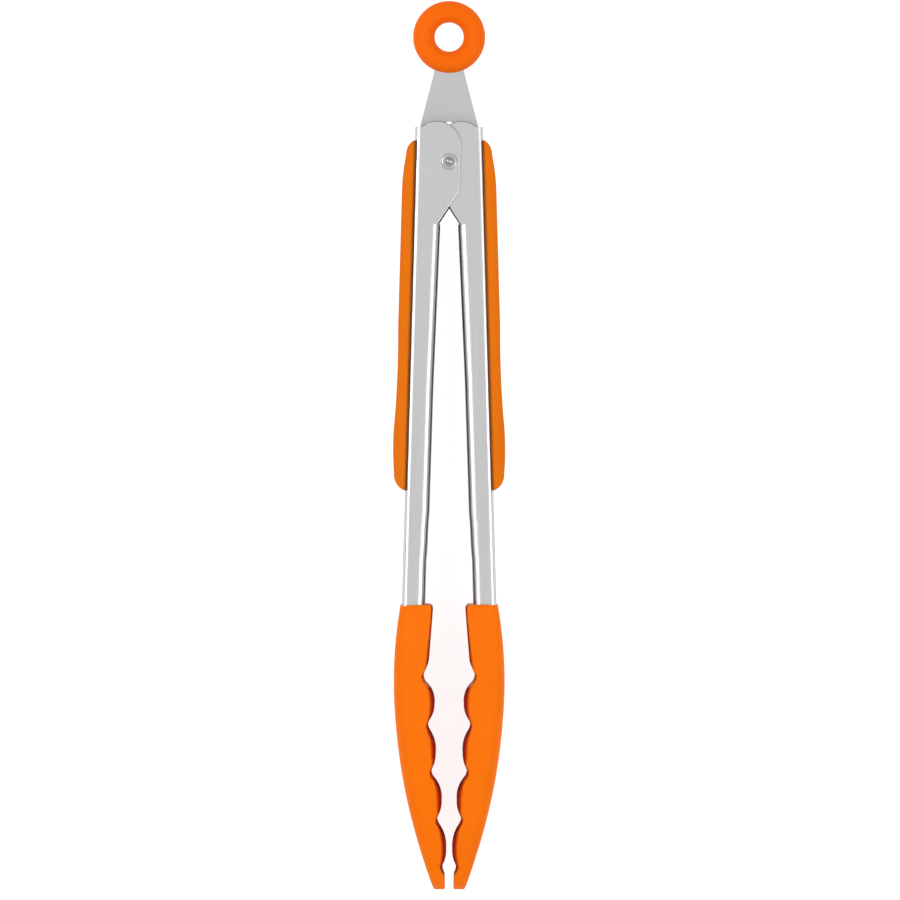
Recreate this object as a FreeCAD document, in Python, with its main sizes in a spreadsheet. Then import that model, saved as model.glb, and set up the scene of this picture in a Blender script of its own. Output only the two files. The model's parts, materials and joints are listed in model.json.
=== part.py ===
import FreeCAD, Part
import math
import os
import Sketcher

# Locking kitchen tongs: two lipped sheet-steel arms on one rivet, two torsion springs, a slotted pull
# tab with a soft ring that wedges the arms shut, grip pads, and scalloped soft tips.
#
# Frame: the tongs lie flat. Z is the pivot's direction, Y runs along the arms towards the ring and X
# goes across. The origin is on the table, under the middle of the whole length.
# Every piece is drawn round the pivot and on the right-hand side: "out" is the distance from the
# middle plane, "up" is towards the ring and "down" is towards the tips. An arm and what is fixed to it
# are drawn with the arm upright, and then turned by rest_tilt.

doc = FreeCAD.newDocument("tongs")
sheet = doc.addObject("Spreadsheet::Sheet", "Sizes")

SIZES = {
    # arms
    "rest_tilt": (1.6, "degrees that each arm stands open when the tab holds it"),
    "back_out": (12.6, "pivot axis to the outside of an arm's back"),
    "arm_depth": (24.0, "outer arm, from flange to flange"),
    "gauge": (1.0, "sheet steel"),
    "ear_gap": (0.15, "between an outer ear and the inner ear behind it"),
    "back_bend": (2.0, "outside radius of the bend between back and flange"),
    "lip_bend": (3.0, "outside radius of the rolled flange edge"),
    "lip_land": (0.6, "straight part of the lip after its bend"),
    "back_top": (12.2, "top of the back above the pivot"),
    "ear_centre_out": (4.5, "centre of the ear's round top"),
    "ear_centre_up": (5.9, "centre of the ear's round top"),
    "ear_round": (8.5, "radius of the ear's round top"),
    "ear_straight_down": (10.4, "lower end of the ear's straight edge"),
    "ear_foot_down": (22.7, "lower end of the ear's slanted edge"),
    "ear_foot_out": (3.6, "and how far out it ends"),
    "ear_break": (0.25, "rounding of the ear's cut edge"),
    "edge_head_out": (2.6, "rolled edge, just below the ear"),
    "edge_grip_down": (80.0, "rolled edge, half way along the grip"),
    "edge_grip_out": (3.45, "how far out it is there"),
    "edge_neck_down": (127.0, "start of the neck"),
    "edge_neck_out": (3.6, "rolled edge at the start of the neck"),
    "neck_length": (17.0, "length of the neck"),
    "neck_step": (0.62, "how much the flange narrows in the neck"),
    "channel_down": (176.0, "end of the channel, inside the tip"),
    # rivet and springs
    "shank_radius": (1.5, "rivet shank"),
    "pin_play": (0.05, "radial play of the rivet in the ears"),
    "head_radius": (3.0, "rivet head"),
    "head_height": (1.0, "rivet head above the ear"),
    "clinch_radius": (1.1, "hole in the rolled end of the rivet"),
    "clinch_deep": (1.6, "depth of that hole"),
    "wire": (1.5, "spring wire diameter"),
    "coil_radius": (2.55, "mean radius of the spring coil"),
    "coil_play": (0.1, "between one turn and the next"),
    "wire_weld": (1.01, "bead where the leg runs off the coil, and at its bend, per wire"),
    "coil_turns": (4.0, "whole turns, before the part turn between the legs"),
    "leg_down": (38.0, "where a spring leg meets the arm's back"),
    "foot_length": (6.0, "end of the leg that lies along the back"),
    "foot_gap": (0.2, "between the foot and the back"),
    # pull tab and ring
    "tab_gauge": (1.5, "thickness of the tab"),
    "coil_gap": (0.15, "between the tab and a coil"),
    "shoulder_out": (10.65, "half width of the tab at its shoulder"),
    "shoulder_up": (12.6, "height of the shoulder"),
    "land_length": (8.0, "straight side below the shoulder"),
    "tab_foot_out": (4.0, "half width at the tab's inner end"),
    "tab_foot_down": (4.6, "tab's inner end"),
    "neck_out": (5.4, "half width where the tab enters the ring"),
    "neck_up": (33.0, "height of that place"),
    "ring_up": (45.5, "ring centre above the pivot"),
    "ring_outer": (13.1, "outside radius of the soft ring"),
    "ring_hole": (5.2, "radius of the hanging hole"),
    "ring_thick": (8.0, "thickness of the soft ring"),
    "ring_land": (3.0, "straight wall inside the hanging hole"),
    "ring_side": (1.6, "straight wall round the outside of the ring"),
    "eye_outer": (10.4, "outside radius of the tab's eye"),
    "eye_inner": (7.2, "inside radius of the tab's eye"),
    "tab_travel": (13.0, "how far the tab pushes in"),
    "slot_play": (0.1, "radial play of the rivet in the slot"),
    "slot_over": (0.35, "spare slot length at each end"),
    # grip pads: thickness on the arm's back
    "pad_top_up": (7.6, "top of the pad above the pivot"),
    "pad_top_round": (6.0, "radius of its top end"),
    "pad_crown_up": (2.0, "end of that round"),
    "pad_crown": (3.0, "thickness there"),
    "pad_full_down": (11.0, "the pad reaches its full thickness here"),
    "pad_full": (4.15, "full thickness"),
    "pad_waist_start": (60.0, "start of the waist"),
    "pad_waist_end": (92.0, "end of the waist"),
    "pad_waist_sag": (0.35, "how deep the waist is"),
    "pad_swell": (4.4, "thickness at the end of the waist"),
    "pad_swell_sag": (0.5, "rise of the swelling"),
    "pad_tail_down": (113.0, "end of the swelling"),
    "pad_end_down": (119.0, "lower end of the pad"),
    "pad_wrap": (0.6, "how far the pad reaches round the bend"),
    "pad_round": (3.4, "rounding of the pad's long edges"),
    "plug_radius": (2.5, "plug that holds the pad in the steel"),
    "plug_head": (3.6, "head of that plug, inside the channel"),
    "plug_head_height": (1.0, "thickness of that head"),
    "plug_first_down": (58.0, "first plug"),
    "plug_pitch": (24.0, "distance between plugs"),
    # tips: rim
    "tip_end_down": (262.6, "lower end of the tip"),
    "tip_top_in": (5.8, "inner side of the tip at its upper edge"),
    "tip_corner": (1.4, "rounding of its upper inner corner"),
    "rim_start_in": (7.3, "inner side just above the first valley"),
    "rim_start_down": (180.0, "and how far down"),
    "valley_half": (2.6, "half length of a valley's round"),
    "valley_lift": (0.85, "depth of a valley's round"),
    "toe_in": (1.4, "inner side of the toe's end"),
    "tip_half": (18.0, "half width of the tip, and so the height of the middle above the table"),
    "toe_round": (12.0, "rounding of the toe, seen from the back"),
    "toe_start_down": (254.6, "how far down that rounding begins"),
    "toe_start_half": (12.0, "half width where it begins"),
    "toe_end_half": (4.6, "half width where it ends"),
    # tips: walls and the steel inside them
    "tip_wall": (3.2, "side wall of the tip"),
    "tip_floor": (4.6, "back wall of the tip"),
    "tongue_half": (7.0, "half width of the steel tongue"),
    "tongue_start_out": (4.6, "outside of the tongue past the arm's back, where it leaves the channel"),
    "tongue_start_down": (173.0, "and how far down"),
    "tongue_bend_out": (4.5, "the same where it bends in"),
    "tongue_bend_down": (205.0, "and how far down"),
    "tongue_end_in": (3.3, "and how far inside the arm's back it ends"),
    "tongue_end_down": (246.0, "and how far down"),
    "tongue_upper_round": (170.0, "radius of its upper half"),
    "tongue_lower_round": (230.0, "radius of its lower half"),
    "key_radius": (2.2, "holes that key the soft tip to the tongue"),
    "key_first_down": (196.0, "first key hole"),
    "key_pitch": (14.0, "distance between key holes"),
}
# Sections of the tip from its upper edge to its toe: how far down, how far its back stands outside
# the arm's, half width at the rim, and the rounding between the back and the sides.
SECTIONS = [
    (159.6, 5.0, 13.7, 3.0),
    (167.0, 6.1, 14.3, 3.6),
    (178.0, 7.15, 15.9, 4.8),
    (190.0, 7.4, 17.4, 5.8),
    (204.0, 6.6, 18.0, 6.2),
    (218.0, 4.9, 17.9, 6.2),
    (232.0, 2.2, 16.7, 5.6),
    (246.0, -1.5, 14.3, 4.2),
    (262.6, -7.0, 9.6, 2.0),
]
SECTION_NAMES = ("down", "back", "half", "round")
# Valleys of the tip's rim, and the crests between them: how far down and how far from the middle.
VALLEYS = [(185.4, 9.3), (203.2, 7.7), (220.0, 6.5), (237.2, 4.4), (254.5, 2.5)]
CRESTS = [5.3, 4.85, 2.85, 1.2]
PLUGS = 3
KEYS = 3
FLARE = 0.24  # how much the tip's sides lean outwards, per length of side
LEFT = -1
RIGHT = 1
BIG = 400.0  # reach of cutting shapes


class Size:
    """A length: its value, and the spreadsheet expression that gives it."""

    def __init__(self, value, text):
        self.value = value
        self.text = text

    def _join(self, sign, other, value):
        return Size(value, f"({self.text} {sign} {as_size(other).text})")

    def __add__(self, other):
        return self._join("+", other, self.value + as_size(other).value)

    def __sub__(self, other):
        return self._join("-", other, self.value - as_size(other).value)

    def __mul__(self, other):
        return self._join("*", other, self.value * as_size(other).value)

    def __truediv__(self, other):
        return self._join("/", other, self.value / as_size(other).value)

    def __neg__(self):
        return Size(-self.value, f"(0 - {self.text})")


def as_size(number):
    return number if isinstance(number, Size) else Size(float(number), repr(float(number)))


def fill_sheet():
    rows = dict(SIZES)
    for index, section in enumerate(SECTIONS):
        for word, value in zip(SECTION_NAMES, section):
            rows[f"section_{index}_{word}"] = (value, "section of the tip")
    for index, (down, out) in enumerate(VALLEYS):
        rows[f"valley_{index}_down"] = (down, "valley of the rim")
        rows[f"valley_{index}_out"] = (out, "valley of the rim")
    for index, out in enumerate(CRESTS):
        rows[f"crest_{index}_out"] = (out, "crest of the rim")
    for row, (alias, (value, words)) in enumerate(rows.items(), start=1):
        sheet.set(f"A{row}", alias)
        sheet.set(f"B{row}", str(value))
        sheet.set(f"C{row}", words)
        sheet.setAlias(f"B{row}", alias)
    doc.recompute()
    return {alias: Size(float(sheet.get(alias)), f"Sizes.{alias}") for alias in rows}


S = fill_sheet()
outer_half = S["arm_depth"] / 2
inner_half = outer_half - S["gauge"] - S["ear_gap"]
hole_radius = S["shank_radius"] + S["pin_play"]
back_inside = S["back_out"] - S["gauge"]
pivot_along = (S["tip_end_down"] - S["ring_up"] - S["ring_outer"]) / 2
mid_height = S["tip_half"]


# ---------------------------------------------------------------- drawing
def bind(thing, **lengths):
    for name, length in lengths.items():
        thing.setExpression(name, as_size(length).text)


def arc_between(start, end, radius, side):
    """Arc of a radius. It bulges to the right of the way from start to end if side is 1."""
    chord = end - start
    rise = math.sqrt(max(radius * radius - chord.Length * chord.Length / 4, 0.0))
    bulge = FreeCAD.Vector(chord.y, -chord.x, 0).normalize() * side
    centre = (start + end) * 0.5 - bulge * rise
    return Part.Arc(start, centre + bulge * radius, end)


def corner_end(sketch, index, point):
    """1 or 2: the end of an edge that lies at a point. A sketch may store an arc reversed."""
    return 1 if sketch.getPoint(index, 1).distanceToPoint(point) < 1e-6 else 2


def fix(sketch, kind, length, *where):
    number = sketch.addConstraint(Sketcher.Constraint(kind, *where, as_size(length).value))
    sketch.setExpression(f"Constraints[{number}]", as_size(length).text)


def is_half_circle(radius, start, end):
    """A level half circle is held by its centre's height: its radius follows from its ends."""
    return abs((end - start).Length - as_size(radius).value * 2) < 1e-6


def outline(name, corners, placement=None, owner=None):
    """A closed sketch. A corner is (x, y), or (x, y, radius, side) where an arc leads to the next."""
    if owner:
        sketch = owner.newObject("Sketcher::SketchObject", name)
    else:
        sketch = doc.addObject("Sketcher::SketchObject", name)
    points = [FreeCAD.Vector(as_size(c[0]).value, as_size(c[1]).value, 0) for c in corners]
    count = len(corners)
    for n, corner in enumerate(corners):
        if len(corner) > 2:
            radius = as_size(corner[2]).value
            sketch.addGeometry(arc_between(points[n], points[(n + 1) % count], radius, corner[3]))
        else:
            sketch.addGeometry(Part.LineSegment(points[n], points[(n + 1) % count]))
    ends = [corner_end(sketch, n, points[n]) for n in range(count)]
    for n, corner in enumerate(corners):
        fix(sketch, "DistanceX", corner[0], n, ends[n])
        fix(sketch, "DistanceY", corner[1], n, ends[n])
        if len(corner) > 2 and is_half_circle(corner[2], points[n], points[(n + 1) % count]):
            fix(sketch, "DistanceY", corner[1], n, 3)
        elif len(corner) > 2:
            fix(sketch, "Radius", corner[2], n)
        after = (n + 1) % count
        sketch.addConstraint(Sketcher.Constraint("Coincident", n, 3 - ends[n], after, ends[after]))
    if placement:
        sketch.Placement = placement
    return sketch


def prism(name, corners, thickness, placement=None):
    """The outline made solid, half of its thickness on each side of its plane."""
    body = doc.addObject("Part::Extrusion", name)
    body.Base = outline(name + "Outline", corners, placement)
    body.DirMode = "Normal"
    body.Solid = True
    body.Symmetric = True
    bind(body, LengthFwd=thickness)
    return body


def cylinder(name, radius, length, centre, axis):
    """A cylinder round the middle point centre, along an axis."""
    body = doc.addObject("Part::Cylinder", name)
    bind(body, Radius=radius, Height=length)
    turn = FreeCAD.Rotation(FreeCAD.Vector(0, 0, 1), axis)
    values = [as_size(c) for c in centre]
    shift = [(-as_size(length) / 2) * a for a in (axis.x, axis.y, axis.z)]
    body.Placement = FreeCAD.Placement(FreeCAD.Vector(0, 0, 0), turn)
    for letter, value, move in zip("xyz", values, shift):
        body.setExpression(f"Placement.Base.{letter}", (value + move).text)
    return body


def join(kind, name, pieces):
    body = doc.addObject(kind, name)
    body.Shapes = pieces
    return body


def cut(name, base, tool):
    body = doc.addObject("Part::Cut", name)
    body.Base = base
    body.Tool = tool
    return body


def round_edges(name, base, radius, wanted):
    """Rounds the edges whose middle point passes the test."""
    doc.recompute()
    chosen = []
    for index, edge in enumerate(base.Shape.Edges, start=1):
        middle = edge.valueAt((edge.FirstParameter + edge.LastParameter) / 2)
        if wanted(middle, edge):
            chosen.append((index, radius.value, radius.value))
    body = doc.addObject("Part::Fillet", name)
    body.Base = base
    body.Edges = chosen
    return body


def near(first, second):
    return abs(first - as_size(second).value) < 0.02


X_AXIS = FreeCAD.Vector(1, 0, 0)
Z_AXIS = FreeCAD.Vector(0, 0, 1)
# Drawn closed, about the middle plane, and turned back into the upright arm.
UPRIGHT = FreeCAD.Placement(
    FreeCAD.Vector(0, 0, 0), FreeCAD.Rotation(Z_AXIS, -S["rest_tilt"].value)
)
ACROSS = FreeCAD.Rotation(X_AXIS, 90)  # a sketch whose x is out and whose y is the height
SIDEWAYS = FreeCAD.Rotation(FreeCAD.Vector(1, 1, 1), 120)  # its x is up and its y is the height


def node(name, body, side=None):
    """Names a finished piece, mirrors a left one, and stands it at the pivot.

    The piece of a side is a copy, so the one that its neighbours are cut by stays as drawn.
    """
    if side is not None:
        copy = doc.addObject("Part::Mirroring" if side == LEFT else "Part::Refine", name)
        copy.Source = body
        if side == LEFT:
            copy.Normal = X_AXIS
        body = copy
    body.Label = name
    turn = 0.0 if side is None else side * S["rest_tilt"].value
    body.Placement = FreeCAD.Placement(
        FreeCAD.Vector(0, pivot_along.value, mid_height.value), FreeCAD.Rotation(Z_AXIS, turn)
    )
    body.setExpression("Placement.Base.y", pivot_along.text)
    body.setExpression("Placement.Base.z", mid_height.text)
    NODES.append(body)
    return body


NODES = []


# ---------------------------------------------------------------- arms
def neck_arc_radius():
    """Radius of the two equal arcs that make the neck's S."""
    length = S["neck_length"] / 2
    step = S["neck_step"] / 2
    return (length * length + step * step) / (step * 2)


def channel_edge(inset):
    """The rolled edge of the flange from the ear down to the channel's end."""
    radius = neck_arc_radius()
    middle = S["edge_neck_down"] + S["neck_length"] / 2
    end = S["edge_neck_down"] + S["neck_length"]
    out = S["edge_neck_out"] + inset
    return [
        (S["edge_head_out"] + inset, -S["ear_foot_down"]),
        (S["edge_grip_out"] + inset, -S["edge_grip_down"]),
        (out, -S["edge_neck_down"], radius, -1),
        (out + S["neck_step"] / 2, -middle, radius, 1),
        (out + S["neck_step"], -end),
        (out + S["neck_step"], -S["channel_down"]),
    ]


def make_block(name, half):
    """The arm before it is hollowed: a full channel with rounded long edges, and the ears."""
    channel = prism(
        name + "Channel",
        channel_edge(0) + [(S["back_out"], -S["channel_down"]), (S["back_out"], -S["ear_foot_down"])],
        half * 2,
    )

    def is_lip(middle, edge):
        at_side = near(abs(middle.z), half)
        inner = middle.x < S["back_out"].value - 3
        return at_side and inner and -S["channel_down"].value + 1 < middle.y < -S["ear_foot_down"].value

    channel = round_edges(name + "Lips", channel, S["lip_bend"], is_lip)
    head = prism(
        name + "Head",
        [
            (-S["ear_round"] + S["ear_centre_out"], S["ear_centre_up"]),
            (-S["ear_round"] + S["ear_centre_out"], -S["ear_straight_down"]),
            (S["ear_foot_out"], -S["ear_foot_down"]),
            (S["back_out"], -S["ear_foot_down"]),
            (S["back_out"], S["back_top"]),
            (S["ear_centre_out"] + S["ear_round"] * 0.7, S["back_top"]),
            (
                S["ear_centre_out"] + S["ear_round"] * 0.6,
                S["ear_centre_up"] + S["ear_round"] * 0.8,
                S["ear_round"],
                1,
            ),
        ],
        half * 2,
    )

    def is_ear_edge(middle, edge):
        inner = middle.x < S["back_out"].value - 2.3
        return near(abs(middle.z), half) and inner and middle.y > -S["ear_foot_down"].value + 0.5

    head = round_edges(name + "HeadBroken", head, S["ear_break"], is_ear_edge)
    block = join("Part::MultiFuse", name + "Whole", [channel, head])
    block.Refine = True

    def is_back(middle, edge):
        return near(abs(middle.z), half) and near(middle.x, S["back_out"]) and edge.Length > 20

    return round_edges(name + "Block", block, S["back_bend"], is_back)


def make_hollow(name, half):
    """The room inside the channel, with the inside radii of its bends, and the mouth between lips."""
    inside = half - S["gauge"]
    channel = prism(
        name + "Room",
        channel_edge(S["gauge"])
        + [(back_inside, -S["channel_down"] - 1), (back_inside, -S["ear_foot_down"])],
        inside * 2,
    )

    def is_lip(middle, edge):
        inner = middle.x < S["back_out"].value - 3
        return near(abs(middle.z), inside) and inner and edge.Length > 3 and middle.y < -24

    channel = round_edges(name + "RoomLips", channel, S["lip_bend"] - S["gauge"], is_lip)
    head = prism(
        name + "HeadRoom",
        [
            (-BIG, -S["ear_foot_down"]),
            (back_inside, -S["ear_foot_down"]),
            (back_inside, S["back_top"] + 20),
            (-BIG, S["back_top"] + 20),
        ],
        inside * 2,
    )
    room = join("Part::MultiFuse", name + "Rooms", [channel, head])
    room.Refine = True

    def is_back(middle, edge):
        return near(abs(middle.z), inside) and near(middle.x, back_inside) and edge.Length > 20

    room = round_edges(name + "RoomBlock", room, S["back_bend"] - S["gauge"], is_back)
    mouth = prism(
        name + "Mouth",
        [
            (-BIG, -S["channel_down"] - 1),
            (S["edge_neck_out"] + 4, -S["channel_down"] - 1),
            (S["edge_neck_out"] + 4, -S["ear_foot_down"] + 1),
            (-BIG, -S["ear_foot_down"] + 1),
        ],
        (half - S["lip_bend"] - S["lip_land"]) * 2,
    )
    return join("Part::MultiFuse", name + "Hollow", [room, mouth])


def make_tongue(name):
    """The steel that runs on inside the soft tip, keyed by round holes."""
    gauge = S["gauge"]
    start = S["back_out"] + S["tongue_start_out"]
    bend = S["back_out"] + S["tongue_bend_out"]
    end = S["back_out"] - S["tongue_end_in"]
    plate = prism(
        name + "Tongue",
        [
            (start, -S["tongue_start_down"], S["tongue_upper_round"], -1),
            (bend, -S["tongue_bend_down"], S["tongue_lower_round"], -1),
            (end, -S["tongue_end_down"]),
            (end - gauge, -S["tongue_end_down"], S["tongue_lower_round"], 1),
            (bend - gauge, -S["tongue_bend_down"], S["tongue_upper_round"], 1),
            (start - gauge, -S["tongue_start_down"]),
        ],
        S["tongue_half"] * 2,
        UPRIGHT,
    )
    return plate


def make_arm(side, half):
    name = "Left" if side == LEFT else "Right"
    block = make_block(name, half)
    channel = cut(name + "Formed", block, make_hollow(name, half))
    whole = join("Part::MultiFuse", name + "Steel", [channel, make_tongue(name)])
    holes = [cylinder(name + "PivotHole", hole_radius, half * 4, (0, 0, 0), Z_AXIS)]
    for n in range(PLUGS):
        down = S["plug_first_down"] + S["plug_pitch"] * n
        at = (S["back_out"], -down, 0)
        holes.append(cylinder(f"{name}PlugHole{n}", S["plug_radius"], S["gauge"] * 6, at, X_AXIS))
    for n in range(KEYS):
        down = S["key_first_down"] + S["key_pitch"] * n
        at = (S["back_out"], -down, 0)
        holes.append(cylinder(f"{name}KeyHole{n}", S["key_radius"], 20, at, X_AXIS))
    drills = join("Part::MultiFuse", name + "Holes", holes)
    return block, cut(name + "Arm", whole, drills)


# ---------------------------------------------------------------- grip pads
def sag_radius(length, sag):
    """Radius of an arc with this chord and rise."""
    half = length / 2
    return (half * half + sag * sag) / (sag * 2)


def make_grip(side, half, block):
    name = "Left" if side == LEFT else "Right"
    back = S["back_out"]
    seat = back - S["pad_wrap"]
    waist = sag_radius(S["pad_waist_end"] - S["pad_waist_start"], S["pad_waist_sag"])
    swell = sag_radius(S["pad_tail_down"] - S["pad_waist_end"], S["pad_swell_sag"])
    crown_run = S["pad_full_down"] + S["pad_crown_up"]
    crown = sag_radius(crown_run * 2, S["pad_full"] - S["pad_crown"])
    side_view = prism(
        name + "PadSide",
        [
            (seat, S["pad_top_up"]),
            (seat, -S["pad_end_down"]),
            (back, -S["pad_end_down"], S["pad_top_round"], 1),
            (back + S["pad_full"], -S["pad_tail_down"], swell, 1),
            (back + S["pad_swell"], -S["pad_waist_end"], waist, -1),
            (back + S["pad_full"], -S["pad_waist_start"]),
            (back + S["pad_full"], -S["pad_full_down"], crown, 1),
            (back + S["pad_crown"], S["pad_crown_up"], S["pad_top_round"], 1),
            (back, S["pad_top_up"]),
        ],
        half * 2,
    )
    face = back + S["pad_swell"] + S["pad_swell_sag"]
    soft = S["pad_round"]
    end_view = prism(
        name + "PadEnd",
        [
            (seat - 1, -half),
            (face - soft, -half, soft, 1),
            (face, -half + soft),
            (face, half - soft, soft, 1),
            (face - soft, half),
            (seat - 1, half),
        ],
        BIG,
        FreeCAD.Placement(FreeCAD.Vector(0, 0, 0), ACROSS),
    )
    pad = join("Part::MultiCommon", name + "PadBlank", [side_view, end_view])
    seated = cut(name + "PadSeated", pad, block)
    plugs = [seated]
    for n in range(PLUGS):
        down = S["plug_first_down"] + S["plug_pitch"] * n
        stem = S["gauge"] + 0.5
        at = (back_inside + stem / 2, -down, 0)
        plugs.append(cylinder(f"{name}Plug{n}", S["plug_radius"], stem, at, X_AXIS))
        at = (back_inside - S["plug_head_height"] / 2, -down, 0)
        head = cylinder(f"{name}PlugHead{n}", S["plug_head"], S["plug_head_height"], at, X_AXIS)
        plugs.append(head)
    return join("Part::MultiFuse", name + "Grip", plugs)


# ---------------------------------------------------------------- soft tips
def tip_section(name, index, wall, floor):
    """A section across the tip: flat back, round corners, sides that lean outwards."""
    lean = math.atan(FLARE)
    rise = math.cos(lean)
    run = 1 - math.sin(lean)
    back = S["back_out"] + S[f"section_{index}_back"] - floor
    corner = S[f"section_{index}_round"] - wall * 0.4
    inner = as_size(-6)
    half = S[f"section_{index}_half"] - wall
    rim = S["toe_in"] + (S["tip_end_down"] - S[f"section_{index}_down"]) * 0.08
    at_inner = half + (rim - inner) * FLARE
    bend_out = back - corner * run
    bend_half = half - (bend_out - rim) * FLARE
    flat_half = bend_half - corner * rise
    down = S[f"section_{index}_down"]
    place = UPRIGHT.multiply(FreeCAD.Placement(FreeCAD.Vector(0, -down.value, 0), ACROSS))
    return outline(
        name,
        [
            (inner, -at_inner),
            (bend_out, -bend_half, corner, 1),
            (back, -flat_half),
            (back, flat_half, corner, 1),
            (bend_out, bend_half),
            (inner, at_inner),
        ],
        place,
    )


def loft(name, sections):
    body = doc.addObject("Part::Loft", name)
    body.Sections = sections
    body.Solid = True
    body.Ruled = False
    return body


def make_rim(name):
    """What lies on the inner side of the tip's scalloped rim."""
    top = S["section_0_down"]
    corner = S["tip_corner"]
    path = [
        (S["tip_top_in"] + corner, -top + 2),
        (S["tip_top_in"] + corner, -top, corner, 1),
        (S["tip_top_in"], -top - corner),
        (S["rim_start_in"], -S["rim_start_down"]),
    ]
    for n in range(len(VALLEYS)):
        out = S[f"valley_{n}_out"] - S["valley_lift"]
        start = S[f"valley_{n}_down"] - S["valley_half"]
        end = S[f"valley_{n}_down"] + S["valley_half"]
        path.append((out, -start, sag_radius(S["valley_half"] * 2, S["valley_lift"]), -1))
        if n == len(CRESTS):
            path.append((out, -end))
            break
        following = S[f"valley_{n + 1}_out"] - S["valley_lift"]
        reach = S[f"valley_{n + 1}_down"] - S["valley_half"] - end
        crest = sag_radius(reach, (out + following) / 2 - S[f"crest_{n}_out"])
        path.append((out, -end, crest, 1))
    path.append((S["toe_in"], -S["tip_end_down"] - 1))
    path.append((-BIG, -S["tip_end_down"] - 1))
    path.append((-BIG, -top + 2))
    return prism(name + "Rim", path, BIG, UPRIGHT)


def make_trim(name):
    """Limits the tip's width and rounds its toe, seen from the back."""
    half = S["tip_half"]
    toe = S["toe_round"]
    start = -S["toe_start_down"]
    start_half = S["toe_start_half"]
    end_half = S["toe_end_half"]
    return prism(
        name + "Trim",
        [
            (-S["section_0_down"] + 5, -half),
            (-S["section_0_down"] + 5, half),
            (start + 18, half),
            (start, start_half, toe, 1),
            (-S["tip_end_down"], end_half),
            (-S["tip_end_down"], -end_half, toe, 1),
            (start, -start_half),
            (start + 18, -half),
        ],
        BIG,
        UPRIGHT.multiply(FreeCAD.Placement(FreeCAD.Vector(0, 0, 0), SIDEWAYS)),
    )


def make_tip(side, arm):
    name = "Left" if side == LEFT else "Right"
    skins = [tip_section(f"{name}Skin{n}", n, as_size(0), as_size(0)) for n in range(len(SECTIONS))]
    skin = loft(name + "Skin", skins)
    inside = range(3, len(SECTIONS) - 1)
    linings = [tip_section(f"{name}Lining{n}", n, S["tip_wall"], S["tip_floor"]) for n in inside]
    hollow = loft(name + "Lining", linings)
    trimmed = join("Part::MultiCommon", name + "Trimmed", [skin, make_trim(name)])
    shaped = cut(name + "Scalloped", trimmed, make_rim(name))
    opened = cut(name + "Hollowed", shaped, hollow)
    sleeve = cut(name + "TipSleeve", opened, arm)
    return sleeve


# ---------------------------------------------------------------- rivet, tab, ring, springs
def make_rivet():
    body = doc.addObject("PartDesign::Body", "pivot_rivet")
    top = outer_half + S["head_height"]
    bottom = -outer_half - S["head_height"]
    clinch = S["clinch_radius"]
    sketch = outline(
        "RivetHalf",
        [
            (0, bottom),
            (S["head_radius"] * 0.55, bottom, S["head_radius"] * 0.9, 1),
            (S["head_radius"], -outer_half),
            (S["shank_radius"], -outer_half),
            (S["shank_radius"], outer_half),
            (S["head_radius"], outer_half, S["head_height"] * 0.9, 1),
            (S["head_radius"] - S["head_height"], top),
            (clinch + 0.2, top),
            (clinch, top - 0.3),
            (clinch, top - S["clinch_deep"]),
            (0, top - S["clinch_deep"] + 0.4),
        ],
        owner=body,
    )
    plane = next(f for f in body.Origin.OriginFeatures if f.Role == "XZ_Plane")
    sketch.AttachmentSupport = [(plane, "")]
    sketch.MapMode = "FlatFace"
    turned = body.newObject("PartDesign::Revolution", "RivetTurned")
    turned.Profile = sketch
    turned.ReferenceAxis = (sketch, ["V_Axis"])
    turned.Angle = 360
    return body


def make_tab():
    body = doc.addObject("PartDesign::Body", "pull_tab")
    plane = next(f for f in body.Origin.OriginFeatures if f.Role == "XY_Plane")

    def sketch_on_plane(name, corners):
        sketch = outline(name, corners, owner=body)
        sketch.AttachmentSupport = [(plane, "")]
        sketch.MapMode = "FlatFace"
        return sketch

    land = S["shoulder_up"] - S["land_length"]
    left = [
        (-S["tab_foot_out"], -S["tab_foot_down"]),
        (S["tab_foot_out"], -S["tab_foot_down"]),
        (S["shoulder_out"], land),
        (S["shoulder_out"], S["shoulder_up"]),
        (S["neck_out"], S["neck_up"]),
        (S["neck_out"], S["ring_up"]),
        (-S["neck_out"], S["ring_up"]),
        (-S["neck_out"], S["neck_up"]),
        (-S["shoulder_out"], S["shoulder_up"]),
        (-S["shoulder_out"], land),
    ]
    blade = body.newObject("PartDesign::Pad", "TabBlade")
    blade.Profile = sketch_on_plane("TabOutline", left)
    blade.Midplane = True
    bind(blade, Length=S["tab_gauge"])
    eye = body.newObject("PartDesign::Pad", "TabEye")
    rim = S["eye_outer"]
    eye.Profile = sketch_on_plane(
        "TabEyeOutline", [(-rim, S["ring_up"], rim, 1), (rim, S["ring_up"], rim, 1)]
    )
    eye.Midplane = True
    bind(eye, Length=S["tab_gauge"])
    hole = S["eye_inner"]
    eye_hole = body.newObject("PartDesign::Pocket", "TabEyeHole")
    eye_hole.Profile = sketch_on_plane(
        "TabEyeHoleOutline", [(-hole, S["ring_up"], hole, 1), (hole, S["ring_up"], hole, 1)]
    )
    eye_hole.Midplane = True
    bind(eye_hole, Length=S["tab_gauge"] * 4)
    slot_radius = S["shank_radius"] + S["slot_play"]
    top = S["tab_travel"] + S["slot_over"]
    bottom = -S["slot_over"]
    slot = body.newObject("PartDesign::Pocket", "TabSlot")
    slot.Profile = sketch_on_plane(
        "TabSlotOutline",
        [
            (-slot_radius, top),
            (-slot_radius, bottom, slot_radius, 1),
            (slot_radius, bottom),
            (slot_radius, top, slot_radius, 1),
        ],
    )
    slot.Midplane = True
    bind(slot, Length=S["tab_gauge"] * 4)
    return body


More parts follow.
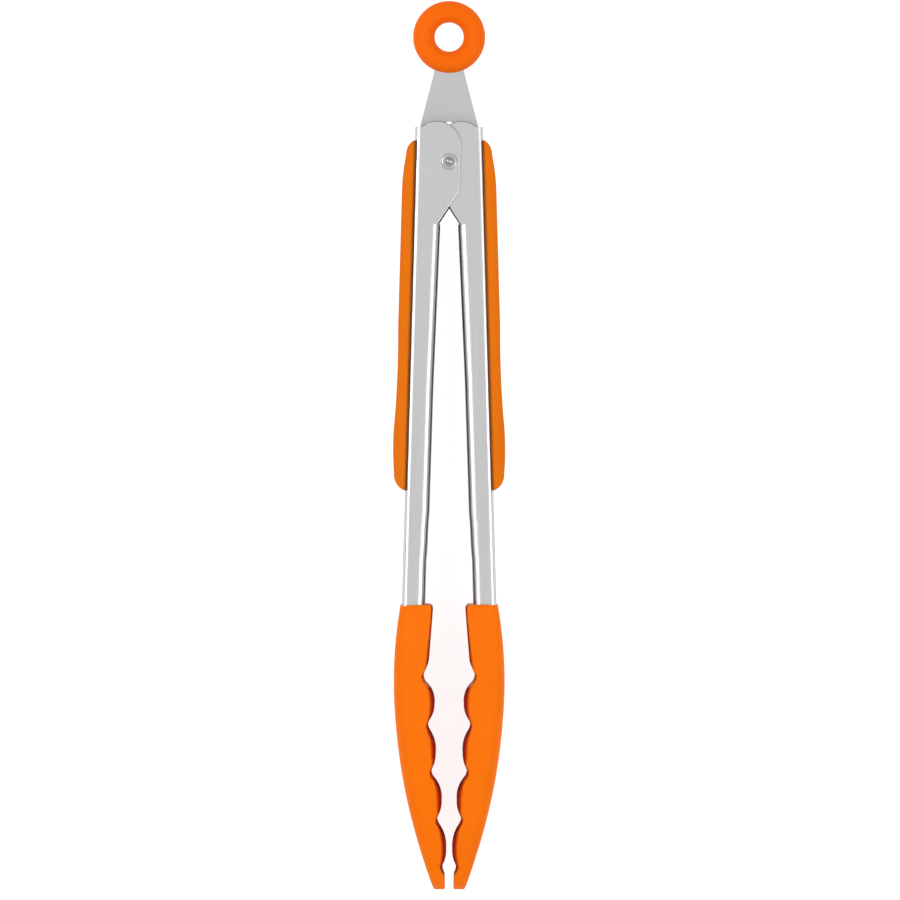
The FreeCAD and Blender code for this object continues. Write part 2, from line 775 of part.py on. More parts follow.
def make_ring(tab):
    half = S["ring_thick"] / 2
    land = S["ring_land"] / 2
    side = S["ring_side"] / 2
    bead = S["ring_outer"] - S["ring_hole"]
    sketch = outline(
        "RingSection",
        [
            (S["ring_hole"], -land),
            (S["ring_hole"], land, S["ring_thick"] * 0.42, -1),
            (S["ring_hole"] + bead * 0.38, half),
            (S["ring_outer"] - bead * 0.42, half, S["ring_thick"] * 0.45, -1),
            (S["ring_outer"], side),
            (S["ring_outer"], -side, S["ring_thick"] * 0.45, -1),
            (S["ring_outer"] - bead * 0.42, -half),
            (S["ring_hole"] + bead * 0.38, -half, S["ring_thick"] * 0.42, -1),
        ],
        FreeCAD.Placement(FreeCAD.Vector(0, 0, 0), ACROSS),
    )
    ring = doc.addObject("Part::Revolution", "RingBead")
    ring.Source = sketch
    ring.Axis = Z_AXIS
    ring.Angle = 360
    ring.Solid = True
    bind(ring, **{"Placement.Base.y": pivot_along + S["ring_up"], "Placement.Base.z": mid_height})
    return cut("Ring", ring, tab)


def make_spring(name, upward):
    """One torsion spring: a coil beside the tab and a leg to each arm's back. Upward is 1 or -1."""
    v = {alias: length.value for alias, length in S.items()}
    radius = v["coil_radius"]
    wire = v["wire"] / 2
    tilt = math.radians(v["rest_tilt"])
    low = v["tab_gauge"] / 2 + v["coil_gap"] + wire
    foot_out = v["back_out"] - v["gauge"] - wire - v["foot_gap"]

    def in_arm(out, up):
        """A point of the upright right arm, where it stands at rest."""
        return (out * math.cos(tilt) - up * math.sin(tilt), out * math.sin(tilt) + up * math.cos(tilt))

    knee = in_arm(foot_out, -v["leg_down"])
    foot = in_arm(foot_out, -v["leg_down"] - v["foot_length"])
    reach = math.hypot(*knee)
    leave = math.atan2(knee[1], knee[0]) + math.acos(radius / reach)
    turns = v["coil_turns"] + (math.pi + 2 * leave) / (2 * math.pi)
    pitch = v["wire"] + v["coil_play"]
    rise = turns * pitch
    coil = Part.makeHelix(pitch, rise, radius)
    coil.rotate(FreeCAD.Vector(0, 0, 0), Z_AXIS, math.degrees(-leave - math.pi) + 360)
    coil.translate(FreeCAD.Vector(0, 0, low))
    path = Part.Wire(coil.Edges)
    start = path.Edges[0].valueAt(path.Edges[0].FirstParameter)
    ring = Part.Wire(Part.makeCircle(wire, start, path.Edges[0].tangentAt(path.Edges[0].FirstParameter)))
    shape = path.makePipeShell([ring], True, True)
    pieces = []
    for side, height in ((LEFT, low), (RIGHT, low + rise)):
        points = [
            FreeCAD.Vector(side * radius * math.cos(leave), radius * math.sin(leave), height),
            FreeCAD.Vector(side * knee[0], knee[1], height),
            FreeCAD.Vector(side * foot[0], foot[1], height),
        ]
        for begin, end in zip(points, points[1:]):
            pieces.append(Part.makeCylinder(wire, (end - begin).Length, begin, end - begin))
        pieces.append(Part.makeSphere(wire * v["wire_weld"], points[1]))
        pieces.append(Part.makeSphere(wire * v["wire_weld"], points[0]))
    shape = shape.fuse(pieces)
    if upward < 0:
        shape = shape.mirror(FreeCAD.Vector(0, 0, 0), Z_AXIS)
    body = doc.addObject("Part::Feature", name)
    body.Shape = shape
    return body


# ---------------------------------------------------------------- assembly
for arm_side, arm_name, half_depth in ((LEFT, "left", outer_half), (RIGHT, "right", inner_half)):
    arm_block, arm_body = make_arm(arm_side, half_depth)
    grip_body = make_grip(arm_side, half_depth, arm_block)
    tip_body = make_tip(arm_side, arm_body)
    node(f"{arm_name}_arm", arm_body, arm_side)
    node(f"{arm_name}_grip", grip_body, arm_side)
    node(f"{arm_name}_tip", tip_body, arm_side)
node("pivot_rivet", make_rivet())
tab_body = node("pull_tab", make_tab())
ring_body = make_ring(tab_body)
ring_body.Label = "ring_grip"
NODES.append(ring_body)
node("front_spring", make_spring("FrontSpring", 1))
node("rear_spring", make_spring("RearSpring", -1))
doc.recompute()

for thing in doc.Objects:
    if "Invalid" in thing.State or "Error" in thing.State:
        raise RuntimeError(f"{thing.Label} failed: {thing.State}")
os.makedirs("parts", exist_ok=True)
for body in NODES:
    shape = body.Shape
    if shape.isNull() or not shape.isValid():
        raise RuntimeError(f"{body.Label} is not valid")
    print(body.Label, len(shape.Solids), round(shape.Volume, 1), shape.BoundBox)
    shape.exportStep(f"parts/{body.Label}.step")
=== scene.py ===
import json
import math

import bmesh
import bpy
from mathutils import Matrix, Vector


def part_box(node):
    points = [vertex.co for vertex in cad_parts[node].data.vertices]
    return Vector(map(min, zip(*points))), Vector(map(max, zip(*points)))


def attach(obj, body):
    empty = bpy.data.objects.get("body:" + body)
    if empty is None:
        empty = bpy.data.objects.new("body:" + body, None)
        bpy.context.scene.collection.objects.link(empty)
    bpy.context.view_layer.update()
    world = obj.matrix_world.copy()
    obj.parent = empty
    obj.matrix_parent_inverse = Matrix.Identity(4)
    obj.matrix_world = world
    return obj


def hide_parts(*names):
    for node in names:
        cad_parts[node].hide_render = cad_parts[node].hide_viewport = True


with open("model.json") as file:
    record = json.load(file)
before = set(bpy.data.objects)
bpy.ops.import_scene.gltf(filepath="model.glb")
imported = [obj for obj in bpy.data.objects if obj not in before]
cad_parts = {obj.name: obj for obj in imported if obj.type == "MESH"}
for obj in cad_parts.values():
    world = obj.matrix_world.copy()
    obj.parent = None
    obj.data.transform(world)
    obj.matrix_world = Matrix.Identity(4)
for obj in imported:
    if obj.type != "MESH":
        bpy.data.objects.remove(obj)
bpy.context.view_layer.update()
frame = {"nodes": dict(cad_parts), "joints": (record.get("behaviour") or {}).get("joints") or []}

bl_info = {
    "name": "Locking kitchen tongs",
    "version": (1, 0, 0),
    "blender": (4, 5, 0),
    "location": "3D View > Sidebar > Tongs",
    "description": "Soft parts, springs, finishes and studio for a pair of locking kitchen tongs",
    "category": "Object",
}

MM = 0.001
PIVOT = Vector(next(j["pos_m"] for j in frame["joints"] if j["name"] == "left_arm_open"))
SIDES = {"left": -1, "right": 1}
REST_TILT = math.radians(1.6)  # how far each arm stands open when the tab holds it
PAD_SEAT = 12.0 * MM  # pivot axis to the inner edge of a pad, across the arm
BACK_INSIDE = 11.6 * MM  # pivot axis to the inside of an arm's back, across the arm

# The tips' rim and the painted shade along it, down from the pivot.
ROW = 0.5 * MM  # height of the rows in which the rim is looked for
CREST_REACH = range(-18, 19)  # rows in which a valley finds its nearest crest
VALLEY_DEPTH = 4 * MM  # a valley this deep would have no band
SLEEVE = (165 * MM, 190 * MM)  # the band widens between these
TOE = (254 * MM, 258 * MM)  # the band ends between these

# The springs, from the pivot.
LEG_DOWN = 38 * MM  # where a leg meets the arm's back
FOOT_DOWN = 44 * MM  # end of the leg
FOOT_GAP = 0.2 * MM  # between the leg's end and the back
COIL_START = 0.9 * MM  # from the middle height to the coil: half the tab and a gap
WHOLE_TURNS = 4
HALVES_OVERLAP = 0.04  # part of a turn that the two halves of a coil share


def linear(code):
    """Linear RGB of an sRGB hex colour."""
    parts = [int(code[i : i + 2], 16) / 255 for i in (1, 3, 5)]
    return tuple(p / 12.92 if p <= 0.04045 else ((p + 0.055) / 1.055) ** 2.4 for p in parts)


def colour(name, code, words):
    return bpy.props.FloatVectorProperty(
        name=name, description=words, default=linear(code), subtype="COLOR", min=0.0, max=1.0
    )


def length(name, millimetres, words):
    return bpy.props.FloatProperty(
        name=name, description=words, default=millimetres * MM, unit="LENGTH", precision=5, min=0.0
    )


class TongsSizes(bpy.types.PropertyGroup):
    """Sizes that a user would change."""

    tip_cell: length("Tip mesh", 0.55, "Cell of the soft tips' mesh")
    pad_cell: length("Pad mesh", 0.5, "Cell of the grip pads' mesh")
    # Width of the painted shade along the tips' rim.
    rim_shade_band: length("Rim band", 1.5, "Width of the dark band along the tips' rim")
    # Width of the painted shadow where a pad meets the steel.
    seat_shadow_band: length("Seat band", 0.9, "Width of the dark line where a pad meets the steel")
    ring_outer: length("Ring radius", 13.1, "Outside radius of the pull ring")
    ring_hole: length("Ring hole", 5.2, "Radius of the pull ring's hole")
    ring_thick: length("Ring thickness", 8.0, "Thickness of the pull ring")
    wire: length("Spring wire", 1.5, "Diameter of the spring wire")
    coil_radius: length("Coil radius", 2.55, "Mean radius of a spring's coil")
    coil_pitch: length("Coil pitch", 1.6, "Advance of the coil in one turn")
    camera_height: length("Camera height", 2400.0, "Camera above the tongs")
    view_width: length("View width", 324.0, "Width that the camera sees")


class TongsColours(bpy.types.PropertyGroup):
    """Colours that a user would change."""

    silicone: colour("Silicone", "#e96c01", "Tips")
    # Painted shade: a dark red for the shaded inward lip of the tips' rim.
    silicone_rim_shade: colour("Silicone rim", "#8e1404", "Dark band along the tips' rim")
    ring: colour("Ring", "#e66303", "Pull ring")
    pad: colour("Grip", "#d56a05", "Grip pads")
    # Painted shadow: a dark brown for the shaded groove where a pad meets the steel.
    pad_seat_shadow: colour("Grip seat", "#7d4312", "Grip pads beside the steel")
    steel: colour("Brushed steel", "#e0e0e0", "Arms")
    # Painted shade: a darker grey for the dark reflection on the rolled edges.
    rolled_edge_shade: colour("Rolled edge", "#9a9a9c", "Rolled edges of the arms")
    tab: colour("Tab steel", "#dcdcdc", "Pull tab")
    # Painted shade: a dark grey for the shade on the tops of the ears under the tab.
    steel_cut_shade: colour("Ear top shade", "#4c4c4e", "Upper cut edges of the arms")
    # Painted shade: a near black for the shade inside the arms' channel.
    steel_inside_shade: colour("Inside shade", "#3c3c3e", "Inside of the arms")
    floor: colour("Floor", "#a4a4a4", "Table")


def sizes():
    return bpy.context.scene.tongs_sizes


def colours():
    return bpy.context.scene.tongs_colours


# ------------------------------------------------------------------ working in the 3D view
def leave_selection_empty():
    if bpy.context.object and bpy.context.object.mode != "OBJECT":
        bpy.ops.object.mode_set(mode="OBJECT")
    bpy.ops.object.select_all(action="DESELECT")


def take(piece):
    """Makes the piece the only one selected, and active."""
    leave_selection_empty()
    piece.select_set(True)
    bpy.context.view_layer.objects.active = piece
    return piece


def name_piece(name):
    piece = bpy.context.object
    piece.name = name
    piece.data.name = name
    return piece


def settle(piece):
    """Puts the object at the origin, unturned and unscaled, with its place in its mesh."""
    take(piece)
    bpy.ops.object.transform_apply(location=True, rotation=True, scale=True)
    return piece


def add_modifier(piece, kind, **settings):
    modifier = piece.modifiers.new(kind.title(), kind)
    for key, value in settings.items():
        setattr(modifier, key, value)
    return modifier


def apply_modifiers(piece):
    take(piece)
    for modifier in list(piece.modifiers):
        bpy.ops.object.modifier_apply(modifier=modifier.name)


def finish_mesh(piece, angle=40):
    take(piece)
    bpy.ops.object.mode_set(mode="EDIT")
    bpy.ops.mesh.select_all(action="SELECT")
    bpy.ops.mesh.normals_make_consistent(inside=False)
    bpy.ops.object.mode_set(mode="OBJECT")
    bpy.ops.object.shade_smooth_by_angle(angle=math.radians(angle))
    return piece


def moulded_copy(node, name, cell, rounds):
    """The CAD solid as one soft moulding: merged, remeshed in small cells, its edges rounded."""
    piece = bpy.data.objects.new(name, frame["nodes"][node].data.copy())
    piece.data.name = name
    piece.data.materials.clear()
    bpy.context.scene.collection.objects.link(piece)
    take(piece)
    bpy.ops.object.mode_set(mode="EDIT")
    bpy.ops.mesh.select_all(action="SELECT")
    bpy.ops.mesh.remove_doubles(threshold=1e-6)
    bpy.ops.object.mode_set(mode="OBJECT")
    add_modifier(piece, "REMESH", mode="VOXEL", voxel_size=cell)
    add_modifier(piece, "SMOOTH", factor=0.5, iterations=rounds)
    apply_modifiers(piece)
    return finish_mesh(piece, 60)


def paint(piece, name, value_at):
    """Stores a number on each point of the piece, for its material to read."""
    layer = piece.data.attributes.new(name, "FLOAT", "POINT")
    layer.data.foreach_set("value", [value_at(v.co) for v in piece.data.vertices])


def fade(value, full, none):
    """1 up to full, 0 from none, and even between."""
    return max(0.0, min(1.0, (none - value) / (none - full)))


# ------------------------------------------------------------------ materials
class Nodes:
    """A material's node tree."""

    def __init__(self, name):
        self.material = bpy.data.materials.new(name)
        self.material.use_nodes = True
        self.tree = self.material.node_tree
        self.shader = self.tree.nodes["Principled BSDF"]

    def add(self, kind, settings=None, **inputs):
        """Adds a node. An input is a value, or another node's output to link."""
        made = self.tree.nodes.new(kind)
        for key, value in (settings or {}).items():
            setattr(made, key, value)
        self.feed(made, **inputs)
        return made

    def feed(self, node, **inputs):
        for key, value in inputs.items():
            spot = int(key[1:]) if key[0] == "_" and key[1:].isdigit() else key.replace("_", " ")
            if isinstance(value, bpy.types.NodeSocket):
                self.tree.links.new(value, node.inputs[spot])
            else:
                node.inputs[spot].default_value = value

    def place(self, x, y, z):
        """Object coordinates, scaled so that one unit of a texture is one feature."""
        where = self.add("ShaderNodeTexCoord").outputs["Object"]
        return self.add("ShaderNodeMapping", Vector=where, Scale=(x, y, z)).outputs[0]

    def blend(self, factor, first, second):
        mix = self.add("ShaderNodeMix", {"data_type": "RGBA"})
        self.feed(mix, _0=factor, _6=first, _7=second)
        return mix.outputs[2]


def rgba(three, shade=1.0):
    return (*(c * shade for c in three), 1.0)


def per_mm(millimetres):
    """Texture scale for a feature of that size."""
    return 1 / (millimetres * MM)


def silicone(name, base, rim=None):
    """Moulded silicone rubber: a dull satin skin, light that sinks in a little, faint mottling."""
    n = Nodes(name)
    mottle = n.add("ShaderNodeTexNoise", Vector=n.place(*[per_mm(14)] * 3), Scale=1.0, Detail=3.0)
    skin = n.blend(mottle.outputs[0], rgba(base, 0.94), rgba(base, 1.05))
    # Painted shade: the band along the rim, where the lip turns to the middle, is darkened in place of
    # the shade there.
    if rim is not None:
        band = n.add("ShaderNodeAttribute", {"attribute_name": "rim"}).outputs["Fac"]
        skin = n.blend(band, skin, rgba(rim))
    # Matte-blasted mould, about 0.25 mm grain.
    grain = n.add("ShaderNodeTexNoise", Vector=n.place(*[per_mm(0.5)] * 3), Scale=1.0, Detail=2.0)
    rough = n.add("ShaderNodeMapRange", Value=grain.outputs[0], To_Min=0.42, To_Max=0.52)
    bump = n.add("ShaderNodeBump", Strength=0.12, Distance=0.00004, Height=grain.outputs[0])
    n.feed(
        n.shader,
        Base_Color=skin,
        Roughness=rough.outputs[0],
        Normal=bump.outputs[0],
        IOR=1.41,
        Subsurface_Weight=0.08,
        Subsurface_Radius=(0.004, 0.0016, 0.0004),
        Subsurface_Scale=0.5,
        Specular_IOR_Level=0.07,
        Sheen_Weight=0.25,
        Sheen_Roughness=0.25,
        Sheen_Tint=(1.0, 0.72, 0.5, 1.0),
    )
    return n.material


def soft_touch_rubber(name, base, seat):
    """Moulded thermoplastic rubber: dry, dull and fine-grained, with painted shadow where it meets the
    steel.
    """
    n = Nodes(name)
    mottle = n.add("ShaderNodeTexNoise", Vector=n.place(*[per_mm(9)] * 3), Scale=1.0, Detail=4.0)
    skin = n.blend(mottle.outputs[0], rgba(base, 0.95), rgba(base, 1.04))
    # Painted shadow: the pad's edge beside the steel is darkened in place of the shadow in the groove
    # there.
    band = n.add("ShaderNodeAttribute", {"attribute_name": "seat"}).outputs["Fac"]
    skin = n.blend(band, skin, rgba(seat))
    grain = n.add("ShaderNodeTexNoise", Vector=n.place(*[per_mm(0.4)] * 3), Scale=1.0, Detail=3.0)
    rough = n.add("ShaderNodeMapRange", Value=grain.outputs[0], To_Min=0.55, To_Max=0.7)
    bump = n.add("ShaderNodeBump", Strength=0.2, Distance=0.00005, Height=grain.outputs[0])
    n.feed(
        n.shader,
        Base_Color=skin,
        Roughness=rough.outputs[0],
        Normal=bump.outputs[0],
        IOR=1.5,
        Specular_IOR_Level=0.07,
    )
    return n.material


def brushed_stainless(name, base, grain_mm, run_mm, edge=None):
    """Stainless sheet, belt-brushed lengthwise: fine parallel scratches that spread highlights.

    With a colour for the edge it is formed sheet: edge, cut and inside get painted shade.
    """
    n = Nodes(name)
    lines = n.add(
        "ShaderNodeTexNoise",
        Vector=n.place(per_mm(grain_mm), per_mm(run_mm), per_mm(grain_mm)),
        Scale=1.0,
        Detail=4.0,
        Roughness=0.6,
    )
    cloud = n.add("ShaderNodeTexNoise", Vector=n.place(*[per_mm(30)] * 3), Scale=1.0, Detail=2.0)
    face = n.blend(lines.outputs[0], rgba(base, 0.93), rgba(base, 1.03))
    face = n.blend(cloud.outputs[0], face, rgba(base, 0.97))
    if edge is not None:
        # Painted shade: faces turned sideways, such as the rolled edges, take a darker colour in place
        # of the dark reflection they catch.
        upright = n.add("ShaderNodeSeparateXYZ", Vector=n.add("ShaderNodeTexCoord").outputs["Normal"])
        level = n.add("ShaderNodeMath", {"operation": "ABSOLUTE"}, _0=upright.outputs[2])
        edge_shade = n.add("ShaderNodeMapRange", Value=level.outputs[0], From_Min=0.35, From_Max=0.7)
        face = n.blend(edge_shade.outputs[0], rgba(edge), face)
        # Painted shade: faces that point up the arm, the tops of the ears under the tab, are darkened
        # in place of the shade there.
        cut_shade = n.add("ShaderNodeMapRange", Value=upright.outputs[1], From_Min=0.1, From_Max=0.35)
        face = n.blend(cut_shade.outputs[0], face, rgba(colours().steel_cut_shade))
        # Painted shade: inside the channel the sheet is darkened in place of the shade that falls
        # there. A face is an inner one where its normal points to the middle height.
        height = n.add("ShaderNodeSeparateXYZ", Vector=n.add("ShaderNodeTexCoord").outputs["Object"])
        above = n.add("ShaderNodeMath", {"operation": "SUBTRACT"}, _0=height.outputs[2], _1=PIVOT.z)
        inward = n.add(
            "ShaderNodeMath", {"operation": "MULTIPLY"}, _0=above.outputs[0], _1=upright.outputs[2]
        )
        inner_shade = n.add(
            "ShaderNodeMapRange", Value=inward.outputs[0], From_Min=-0.5 * MM, From_Max=-3 * MM
        )
        face = n.blend(inner_shade.outputs[0], face, rgba(colours().steel_inside_shade))
    rough = n.add("ShaderNodeMapRange", Value=lines.outputs[0], To_Min=0.24, To_Max=0.36)
    bump = n.add("ShaderNodeBump", Strength=0.1, Distance=0.00002, Height=lines.outputs[0])
    n.feed(
        n.shader,
        Base_Color=face,
        Metallic=1.0,
        Roughness=rough.outputs[0],
        Normal=bump.outputs[0],
    )
    return n.material


def polished_steel(name, base, low, high):
    """Turned or drawn steel, tumbled bright, with faint rubbing marks."""
    n = Nodes(name)
    marks = n.add("ShaderNodeTexNoise", Vector=n.place(*[per_mm(0.6)] * 3), Scale=1.0, Detail=5.0)
    face = n.blend(marks.outputs[0], rgba(base, 0.9), rgba(base, 1.05))
    rough = n.add("ShaderNodeMapRange", Value=marks.outputs[0], To_Min=low, To_Max=high)
    bump = n.add("ShaderNodeBump", Strength=0.06, Distance=0.00002, Height=marks.outputs[0])
    n.feed(n.shader, Base_Color=face, Metallic=1.0, Roughness=rough.outputs[0], Normal=bump.outputs[0])
    return n.material


def dress(piece, material):
    piece.data.materials.clear()
    piece.data.materials.append(material)


# ------------------------------------------------------------------ the pieces
class TONGS_OT_soft_tips(bpy.types.Operator):
    """Moulded silicone tips with a scalloped, half-round rim, and painted shade along the rim"""

    bl_idname = "tongs.soft_tips"
    bl_label = "Soft tips"

    def execute(self, context):
        skin = silicone("Moulded silicone, orange", colours().silicone, colours().silicone_rim_shade)
        for side in SIDES:
            tip = moulded_copy(f"{side}_tip", f"{side}_soft_tip", sizes().tip_cell, 7)
            self.mark_rim_shade(tip)
            dress(tip, skin)
            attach(tip, f"{side}_arm")
            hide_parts(f"{side}_tip")
        return {"FINISHED"}

    def mark_rim_shade(self, tip):
        """Marks the band of painted shade along the rim, which stands nearest to the middle at each
        height.
        """
        found = {}
        for v in tip.data.vertices:
            row = round(v.co.y / ROW)
            found[row] = min(found.get(row, 1.0), abs(v.co.x))
        # A row may hold no point of the rim itself, so each is read with its neighbours.
        nearest = {row: min(found.get(row + k, 1.0) for k in (-1, 0, 1)) for row in found}
        crest = {row: min(nearest.get(row + k, 1.0) for k in CREST_REACH) for row in nearest}

        def mark(co):
            row = round(co.y / ROW)
            down = PIVOT.y - co.y
            # The painted shade is wide on the crests, narrow in the valleys and on the sleeve, and
            # none on the toe.
            width = sizes().rim_shade_band * max(0.4, 1 - (nearest[row] - crest[row]) / VALLEY_DEPTH)
            width *= 1 - 0.6 * fade(down, *SLEEVE)
            width *= fade(down, *TOE)
            if width < 0.1 * MM:
                return 0.0
            return fade(abs(co.x) - nearest[row], width * 0.75, width * 1.4)

        paint(tip, "rim", mark)


class TONGS_OT_grip_pads(bpy.types.Operator):
    """Soft-touch rubber pads on the backs of the arms"""

    bl_idname = "tongs.grip_pads"
    bl_label = "Grip pads"

    def execute(self, context):
        skin = soft_touch_rubber("Soft-touch rubber, orange", colours().pad, colours().pad_seat_shadow)
        for side, sign in SIDES.items():
            pad = moulded_copy(f"{side}_grip", f"{side}_grip_pad", sizes().pad_cell, 4)
            self.mark_seat_shadow(pad, sign)
            dress(pad, skin)
            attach(pad, f"{side}_arm")
            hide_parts(f"{side}_grip")
        return {"FINISHED"}

    def mark_seat_shadow(self, pad, sign):
        """Marks the line of painted shadow where the pad meets the steel."""
        across = Vector((sign * math.cos(REST_TILT), math.sin(REST_TILT), 0))
        band = sizes().seat_shadow_band
        paint(
            pad,
            "seat",
            lambda co: fade((co - PIVOT).dot(across) - PAD_SEAT, band * 0.6, band * 1.3),
        )


class TONGS_OT_pull_ring(bpy.types.Operator):
    """Silicone ring on the pull tab's eye, with its mould's parting line"""

    bl_idname = "tongs.pull_ring"
    bl_label = "Pull ring"

    def execute(self, context):
        s = sizes()
        low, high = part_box("ring_grip")
        centre = (low + high) / 2
        bead = (s.ring_outer - s.ring_hole) / 2
        leave_selection_empty()
        bpy.ops.mesh.primitive_torus_add(
            location=centre,
            major_segments=120,
            minor_segments=40,
            major_radius=s.ring_hole + bead,
            minor_radius=bead,
        )
        ring = settle(name_piece("pull_ring"))
        bpy.ops.object.mode_set(mode="EDIT")
        bpy.ops.mesh.select_all(action="SELECT")
        bpy.ops.transform.resize(value=(1, 1, s.ring_thick / (2 * bead)), center_override=centre)
        self.parting_line(ring, centre, s.ring_outer - 0.1 * MM)
        bpy.ops.object.mode_set(mode="OBJECT")
        add_modifier(ring, "SUBSURF", levels=1, render_levels=1)
        apply_modifiers(ring)
        finish_mesh(ring, 60)
        dress(ring, silicone("Moulded silicone, ring", colours().ring))
        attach(ring, "pull_tab")
        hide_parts("ring_grip")
        return {"FINISHED"}

    def parting_line(self, ring, centre, reach):
        """Splits the outermost edge loop and draws the sides of the split in."""
        mesh = bmesh.from_edit_mesh(ring.data)
        for edge in mesh.edges:
            middle = (edge.verts[0].co + edge.verts[1].co) / 2 - centre
            edge.select = abs(middle.z) < 0.05 * MM and middle.xy.length > reach
        bmesh.update_edit_mesh(ring.data)
        bpy.ops.mesh.bevel(offset=0.22 * MM, segments=2, profile=0.5, affect="EDGES")


class TONGS_OT_springs(bpy.types.Operator):
    """Two torsion springs, each in two halves that follow the two arms"""

    bl_idname = "tongs.springs"
    bl_label = "Springs"

    def execute(self, context):
        wire = polished_steel("Drawn spring steel wire", linear("#c4c4c6"), 0.22, 0.34)
        for name, level in (("front", 1), ("rear", -1)):
            for side, sign in SIDES.items():
                half = self.half_spring(f"{name}_spring_{side}", level, sign)
                dress(half, wire)
                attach(half, f"{side}_arm")
                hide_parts(f"{name}_spring")
        return {"FINISHED"}

    def half_spring(self, name, level, sign):
        """Half of the coil, then the leg that runs down to the arm's back and lies along it."""
        s = sizes()
        wire = s.wire / 2
        tilt = Matrix.Rotation(sign * REST_TILT, 3, "Z")
        out = sign * (BACK_INSIDE - FOOT_GAP - wire)
        knee = tilt @ Vector((out, -LEG_DOWN, 0))
        foot = tilt @ Vector((out, -FOOT_DOWN, 0))
        leave = math.atan2(knee.y, abs(knee.x)) + math.acos(s.coil_radius / knee.length)
        turns = WHOLE_TURNS + (math.pi + 2 * leave) / (2 * math.pi)
        low = COIL_START + wire
        share = turns / 2 + HALVES_OVERLAP
        height = low if sign < 0 else low + turns * s.coil_pitch
        start = Vector((sign * s.coil_radius * math.cos(leave), s.coil_radius * math.sin(leave), 0))
        up = 1 if sign < 0 else -1
        leave_selection_empty()
        along = Vector((-start.y, start.x, 0)).normalized()
        turn = Vector((0, 0, 1)).rotation_difference(along).to_euler()
        bpy.ops.mesh.primitive_circle_add(vertices=16, radius=wire, location=start, rotation=turn)
        piece = settle(name_piece(name))
        # From the left leg the coil climbs anticlockwise, and from the right leg it falls clockwise.
        add_modifier(
            piece,
            "SCREW",
            axis="Z",
            angle=up * share * 2 * math.pi,
            screw_offset=up * share * s.coil_pitch,
            steps=int(share * 32),
            render_steps=int(share * 32),
            use_merge_vertices=False,
        )
        apply_modifiers(piece)
        legs = [piece]
        for begin, end in ((start, knee), (knee, foot)):
            reach = end - begin
            bpy.ops.mesh.primitive_cylinder_add(
                vertices=16,
                radius=wire,
                depth=reach.length,
                location=(begin + end) / 2,
                rotation=Vector((0, 0, 1)).rotation_difference(reach).to_euler(),
                end_fill_type="NGON",
            )
            legs.append(settle(name_piece(name + "_leg")))
        bpy.ops.mesh.primitive_uv_sphere_add(segments=16, ring_count=12, radius=wire, location=knee)
        legs.append(settle(name_piece(name + "_bend")))
        leave_selection_empty()
        for leg in legs:
            leg.select_set(True)
        bpy.context.view_layer.objects.active = piece
        bpy.ops.object.join()
        take(piece)
        bpy.ops.object.mode_set(mode="EDIT")
        bpy.ops.mesh.select_all(action="SELECT")
        bpy.ops.transform.translate(value=(0, 0, height))
        bpy.ops.object.mode_set(mode="OBJECT")
        if level < 0:
            piece.data.transform(Matrix.Scale(-1, 4, Vector((0, 0, 1))))
        piece.data.transform(Matrix.Translation(PIVOT))
        return finish_mesh(piece)


class TONGS_OT_steel_finish(bpy.types.Operator):
    """Finishes on the arms, the tab and the rivet"""

    bl_idname = "tongs.steel_finish"
    bl_label = "Steel finishes"

    def execute(self, context):
        c = colours()
        arms = brushed_stainless("Brushed stainless sheet", c.steel, 0.35, 40, c.rolled_edge_shade)
        tab = brushed_stainless("Fine brushed stainless tab", c.tab, 0.25, 12)
        rivet = polished_steel("Tumbled steel rivet", linear("#c2c2c4"), 0.2, 0.3)
        for node, material in (
            ("left_arm", arms),
            ("right_arm", arms),
            ("pull_tab", tab),
            ("pivot_rivet", rivet),
        ):
            for slot in frame["nodes"][node].material_slots:
                slot.material = material
        return {"FINISHED"}


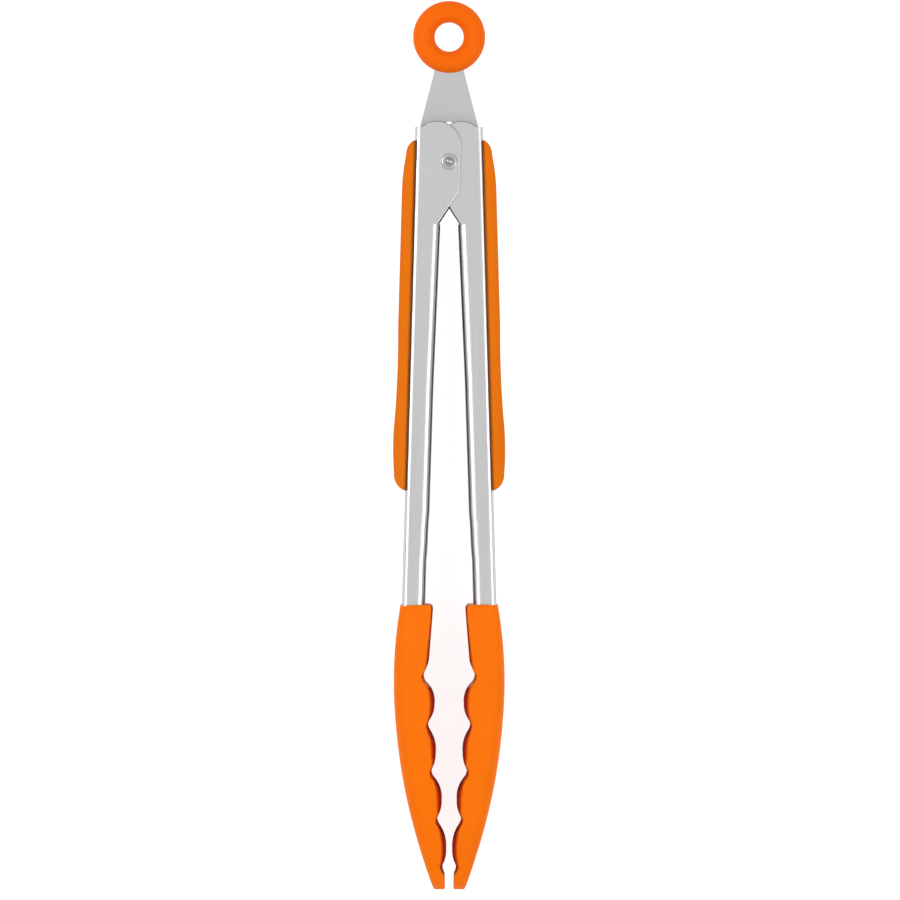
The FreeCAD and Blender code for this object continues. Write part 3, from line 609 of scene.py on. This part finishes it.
class TONGS_OT_studio(bpy.types.Operator):
    """Pale table, soft sky and the camera straight above"""

    bl_idname = "tongs.studio"
    bl_label = "Studio"

    def execute(self, context):
        self.table()
        self.sky()
        self.lamps()
        self.camera()
        view = context.scene.view_settings
        view.view_transform = "Standard"
        view.look = "None"
        return {"FINISHED"}

    def table(self):
        leave_selection_empty()
        bpy.ops.mesh.primitive_plane_add(size=6, location=(0, 0, -0.0002))
        floor = settle(name_piece("table"))
        n = Nodes("Matte white table")
        cloud = n.add("ShaderNodeTexNoise", Vector=n.place(4, 4, 4), Scale=1.0, Detail=2.0)
        tone = n.blend(cloud.outputs[0], rgba(colours().floor, 0.99), rgba(colours().floor))
        n.feed(
            n.shader,
            Base_Color=tone,
            Roughness=0.9,
            Specular_IOR_Level=0.1,
            Emission_Color=(1, 1, 1, 1),
            Emission_Strength=0.85,
        )
        dress(floor, n.material)

    def sky(self):
        """A soft room: grey straight above, bright at the sides, dim at the horizon."""
        world = bpy.data.worlds.new("Soft room")
        bpy.context.scene.world = world
        world.use_nodes = True
        tree = world.node_tree
        where = tree.nodes.new("ShaderNodeTexCoord")
        split = tree.nodes.new("ShaderNodeSeparateXYZ")
        ramp = tree.nodes.new("ShaderNodeValToRGB")
        tree.links.new(where.outputs["Generated"], split.inputs[0])
        tree.links.new(split.outputs[2], ramp.inputs[0])
        stops = ((0.0, 0.25), (0.25, 0.4), (0.5, 1.15), (0.8, 1.25), (0.93, 0.74), (1.0, 0.66))
        ramp.color_ramp.elements[0].position = stops[0][0]
        ramp.color_ramp.elements[0].color = (stops[0][1],) * 3 + (1,)
        ramp.color_ramp.elements[1].position = stops[-1][0]
        ramp.color_ramp.elements[1].color = (stops[-1][1],) * 3 + (1,)
        for position, level in stops[1:-1]:
            ramp.color_ramp.elements.new(position).color = (level, level, level, 1)
        tree.links.new(ramp.outputs[0], tree.nodes["Background"].inputs[0])

    def lamps(self):
        for x, y, power in ((-0.7, 0.25, 3.0), (0.8, -0.2, 2.2)):
            lamp = bpy.data.lights.new("Softbox", "AREA")
            lamp.energy = power
            lamp.size = 0.5
            holder = bpy.data.objects.new("Softbox", lamp)
            bpy.context.scene.collection.objects.link(holder)
            holder.location = (x, y, 0.9)
            holder.rotation_euler = (-holder.location).to_track_quat("-Z", "Y").to_euler()

    def camera(self):
        s = sizes()
        lens = bpy.data.cameras.new("Camera")
        lens.sensor_width = 36
        lens.lens = 36 * s.camera_height / s.view_width
        lens.clip_end = 20
        holder = bpy.data.objects.new("Camera", lens)
        bpy.context.scene.collection.objects.link(holder)
        top = frame["nodes"]["left_arm"].data.vertices
        holder.location = (0.0003, -0.0019, max(v.co.z for v in top) + s.camera_height)
        bpy.context.scene.camera = holder


class TONGS_PT_sidebar(bpy.types.Panel):
    """Steps, sizes and colours"""

    bl_idname = "TONGS_PT_sidebar"
    bl_label = "Tongs"
    bl_space_type = "VIEW_3D"
    bl_region_type = "UI"
    bl_category = "Tongs"

    def draw(self, context):
        for step in STEPS:
            self.layout.operator(step.bl_idname)
        for group in (sizes(), colours()):
            for name in group.__annotations__:
                self.layout.prop(group, name)


STEPS = (
    TONGS_OT_soft_tips,
    TONGS_OT_grip_pads,
    TONGS_OT_pull_ring,
    TONGS_OT_springs,
    TONGS_OT_steel_finish,
    TONGS_OT_studio,
)
CLASSES = (TongsSizes, TongsColours, *STEPS, TONGS_PT_sidebar)


def register():
    for cls in CLASSES:
        bpy.utils.register_class(cls)
    bpy.types.Scene.tongs_sizes = bpy.props.PointerProperty(type=TongsSizes)
    bpy.types.Scene.tongs_colours = bpy.props.PointerProperty(type=TongsColours)


def unregister():
    del bpy.types.Scene.tongs_colours
    del bpy.types.Scene.tongs_sizes
    for cls in reversed(CLASSES):
        bpy.utils.unregister_class(cls)


def main():
    register()
    for step in STEPS:
        group, name = step.bl_idname.split(".")
        getattr(getattr(bpy.ops, group), name)()


if __name__ == "__main__":
    main()
